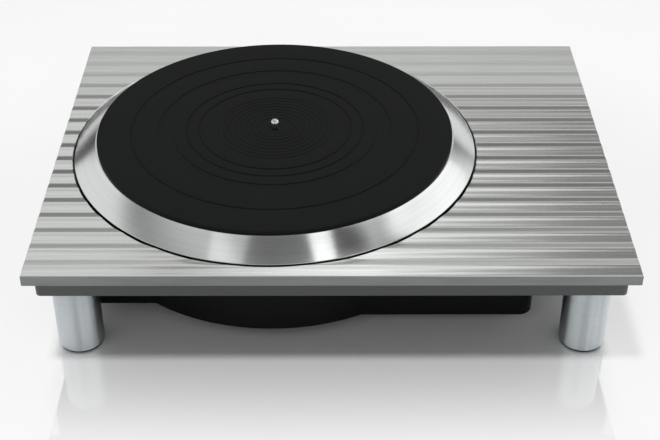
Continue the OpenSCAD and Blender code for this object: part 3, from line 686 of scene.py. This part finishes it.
def soften(node, width):
    """Rounds a CAD node's edges with modifiers."""
    merge_m, segments, crease_degrees = 2e-6, 2, 35
    obj = NODES[node]
    weld = obj.modifiers.new("weld", "WELD")
    weld.merge_threshold = merge_m
    bevel = obj.modifiers.new("edge", "BEVEL")
    bevel.width, bevel.segments = width * MM, segments
    bevel.limit_method, bevel.angle_limit = "ANGLE", math.radians(crease_degrees)
    bevel.harden_normals = True


# Stage

# Elevation in degrees and light of the studio's back wall and ceiling
BACK = [
    (0, 0.14),
    (12, 0.17),
    (20, 0.19),
    (25, 0.3),
    (28, 0.72),
    (30, 0.76),
    (33, 0.6),
    (36, 0.44),
    (38.5, 0.26),
    (41, 0.18),
    (50, 0.2),
    (56, 0.45),
    (64, 0.58),
    (68, 0.5),
    (71.5, 0.15),
    (90, 0.12),
]
# The same for its front and side walls
SIDES = [
    (0, 0.6),
    (10, 0.76),
    (34, 0.76),
    (38, 0.42),
    (43, 0.22),
    (48, 0.32),
    (56, 0.48),
    (64, 0.58),
    (68, 0.5),
    (71.5, 0.15),
    (90, 0.12),
]
# Azimuth, elevation, inner and outer radius in degrees of the back wall
BACK_WALL = (0, 15, 34, 46)
# The same and the light of round cards with soft edges
CARDS = [
    (-38, 4.5, 3, 8, 0.05),
    (115, 63.5, 4, 11, 0.03),
    (0, 84, 8, 20, 0.5),
    (180, 74, 12, 18, 0.13),
    (30, 0, 8, 14, 0.78),
    (-176, 2, 14, 28, 0.2),
    (128, 16, 15, 24, 0.15),
]
# Share of the studio's light that reaches matt surfaces, whose shadows the suns set
AMBIENT = 0.74
# Light of the plain backdrop that the camera sees past the floor's far edge
BACKDROP = 0.85
# Half the floor's width, and the distance of the softboxes, in metres
FLOOR_HALF, BOX_DISTANCE = 30.0, 10.0


def floor_polish(s, y, aside):
    """Share of the mirror in front of the object: it fades to the front and ends beside the legs."""
    faded, full, most = -0.3, -0.165, 0.36
    under, hidden = -0.16, -0.1
    front, narrow, wide, edge = -0.19, 0.2005, 0.207, 0.001
    fade = s.ramp(y, faded, full, 0.0, most, smooth=True)
    ahead = s.ramp(y, under, hidden, 1.0, 0.0, smooth=True)
    reach = s.math("SUBTRACT", aside, s.ramp(y, front, full, narrow, wide))
    return s.times(fade, ahead, s.ramp(reach, -edge, edge, 1.0, 0.0, smooth=True))


def floor_clearing(s, y, aside):
    """Share of plain white that lightens the shadow to the left and right of the object."""
    start, started, most = 0.203, 0.215, 0.6
    ending, ended = 0.25, 0.34
    middle, deep, outside = -0.05, 0.16, 0.26
    rise = s.ramp(aside, start, started, 0.0, most, smooth=True)
    fall = s.ramp(aside, ending, ended, 1.0, 0.0, smooth=True)
    off = s.math("ABSOLUTE", s.math("SUBTRACT", y, middle))
    beside = s.ramp(off, deep, outside, 1.0, 0.0, smooth=True)
    path = s.add("ShaderNodeLightPath").outputs
    seen = s.math("MAXIMUM", path["Is Camera Ray"], path["Is Glossy Ray"])
    seen = s.math("MAXIMUM", seen, path["Is Transmission Ray"])
    return s.times(seen, s.times(rise, fall, beside))


def make_floor():
    """A white floor, polished in front of the object, with fainter shadows beside it."""
    size = FLOOR_HALF
    corners = [(-size, -size, 0), (size, -size, 0), (size, size, 0), (-size, size, 0)]
    obj = new_object("floor", corners, [(0, 1, 2, 3)])
    s = Shader("floor_white", Roughness=0.3, Specular_IOR_Level=0.2)
    cloud = s.noise(s.coords(), 3, 2)
    s.to(s.mix(s.ramp(cloud, *MOST), (0.91, 0.91, 0.91), (0.93, 0.93, 0.93)), "Base Color")
    x, y, _ = s.split(s.coords())
    aside = s.math("ABSOLUTE", x)
    gloss = s.add("ShaderNodeBsdfGlossy")
    gloss.inputs["Roughness"].default_value = 0.03
    white = s.add("ShaderNodeEmission")
    white.inputs["Color"].default_value = (0.95, 0.95, 0.95, 1)
    polished = s.mix_shaders(floor_polish(s, y, aside), s.bsdf.outputs[0], gloss.outputs[0])
    cleared = s.mix_shaders(floor_clearing(s, y, aside), polished, white.outputs[0])
    s.link(cleared, s.tree.nodes["Material Output"].inputs["Surface"])
    obj.data.materials.append(s.mat)


def way_to(azimuth, elevation):
    """Direction as a vector. Azimuth is in degrees from +Y towards +X."""
    a, e = math.radians(azimuth), math.radians(elevation)
    return Vector((math.sin(a) * math.cos(e), math.cos(a) * math.cos(e), math.sin(e)))


def make_world():
    """A studio with lit walls, a darker back wall, a dark ceiling and a few cards."""
    world = bpy.data.worlds.new("studio")
    SCENE.world = world
    world.use_nodes = True
    tree = world.node_tree
    source = tree.nodes.new("ShaderNodeTexCoord").outputs["Generated"]
    split = tree.nodes.new("ShaderNodeSeparateXYZ")
    tree.links.new(source, split.inputs[0])

    def wall(stops):
        """Light by elevation."""
        ramp = tree.nodes.new("ShaderNodeValToRGB")
        elements = ramp.color_ramp.elements
        while len(elements) < len(stops):
            elements.new(0.5)
        for e, (elevation, light) in zip(elements, stops):
            e.position, e.color = math.sin(math.radians(elevation)), (light, light, light, 1)
        tree.links.new(split.outputs["Z"], ramp.inputs["Fac"])
        return ramp.outputs["Color"]

    def near(azimuth, elevation, inner, outer):
        """1 within the inner radius of a direction, 0 beyond the outer one."""
        dot = tree.nodes.new("ShaderNodeVectorMath")
        dot.operation = "DOT_PRODUCT"
        dot.inputs[1].default_value = way_to(azimuth, elevation)
        share = tree.nodes.new("ShaderNodeMapRange")
        share.interpolation_type = "SMOOTHSTEP"
        share.inputs["From Min"].default_value = math.cos(math.radians(outer))
        share.inputs["From Max"].default_value = math.cos(math.radians(inner))
        tree.links.new(source, dot.inputs[0])
        tree.links.new(dot.outputs["Value"], share.inputs["Value"])
        return share.outputs["Result"]

    def over(below, share, light):
        """A light, or a wall's output, laid over what is below it."""
        mix = tree.nodes.new("ShaderNodeMix")
        mix.data_type = "RGBA"
        tree.links.new(share, mix.inputs[MIX_SHARE])
        tree.links.new(below, mix.inputs[MIX_A])
        if isinstance(light, float):
            mix.inputs[MIX_B].default_value = (light, light, light, 1)
        else:
            tree.links.new(light, mix.inputs[MIX_B])
        return mix.outputs[MIX_RESULT]

    studio = over(wall(SIDES), near(*BACK_WALL), wall(BACK))
    for *place, light in CARDS:
        studio = over(studio, near(*place), light)
    path = tree.nodes.new("ShaderNodeLightPath")
    studio = over(studio, path.outputs["Is Camera Ray"], BACKDROP)
    strength = tree.nodes.new("ShaderNodeMapRange")
    strength.inputs["To Min"].default_value = 1
    strength.inputs["To Max"].default_value = AMBIENT
    background = tree.nodes["Background"]
    tree.links.new(path.outputs["Is Diffuse Ray"], strength.inputs["Value"])
    tree.links.new(strength.outputs["Result"], background.inputs["Strength"])
    tree.links.new(studio, background.inputs["Color"])


def lamp(name, kind, way):
    data = bpy.data.lights.new(name, kind)
    obj = bpy.data.objects.new(name, data)
    obj.rotation_euler = way.to_track_quat("Z", "Y").to_euler()
    SCENE.collection.objects.link(obj)
    return obj


def sun(name, strength, angle, azimuth, elevation):
    """A far lamp that metal doesn't mirror."""
    obj = lamp(name, "SUN", way_to(azimuth, elevation))
    obj.data.energy, obj.data.angle = strength, math.radians(angle)
    obj.visible_glossy = False


def softbox(name, azimuth, elevation, wide, high, light, roll=0):
    """A far rectangular lamp. Its angles are in degrees, and roll lifts its right end."""
    way = way_to(azimuth, elevation)
    obj = lamp(name, "AREA", way)
    width, height = (2 * BOX_DISTANCE * math.tan(math.radians(a / 2)) for a in (wide, high))
    obj.data.shape, obj.data.size, obj.data.size_y = "RECTANGLE", width, height
    obj.data.energy = light * math.pi * width * height
    obj.rotation_euler.rotate_axis("Z", math.radians(-roll))
    obj.location = Vector((*AXIS, PLATTER_TOP)) * MM + way * BOX_DISTANCE


def make_lights():
    make_world()
    sun("key", 1.6, 8, -124, 80)
    sun("fill", 0.5, 90, -100, 48)
    softbox("back_bar", -14.6, 40.5, 28, 9.5, 0.47)
    softbox("back_step", 9, 41.5, 9, 9, 0.13)
    softbox("left_bar", -19, 41, 10, 9, 0.07)
    softbox("left_top", -19, 48.2, 9, 6.5, 0.42)
    softbox("back_panel", 18, 55.3, 38, 13, 0.66, roll=35)
    softbox("front_panel", 150, 46, 30, 19, 0.35)
    softbox("right_box", 66, 36, 38, 36, 0.36)
    softbox("right_top", 74, 46, 30, 18, 0.35)
    softbox("right_strip", 133, 68.3, 8, 24, 0.95, roll=29)
    softbox("left_strip", -133, 67.2, 13, 24, 0.34, roll=-32)
    softbox("front_right_box", 128, 15, 24, 36, 0.72)


make_camera()
MATERIALS = material_by_slot()
SLOT_OF = {name: obj.data.materials[0].name.split(".")[0] for name, obj in NODES.items()}
make_plate()
make_platter()
make_mat()
make_pin()
for corner in CORNERS:
    make_leg(corner)
    make_pad(corner)
dress_nodes()
soften("chassis", 0.6)
soften("under_cover", 0.8)
make_floor()
make_lights()
SCENE.view_settings.view_transform = "Standard"
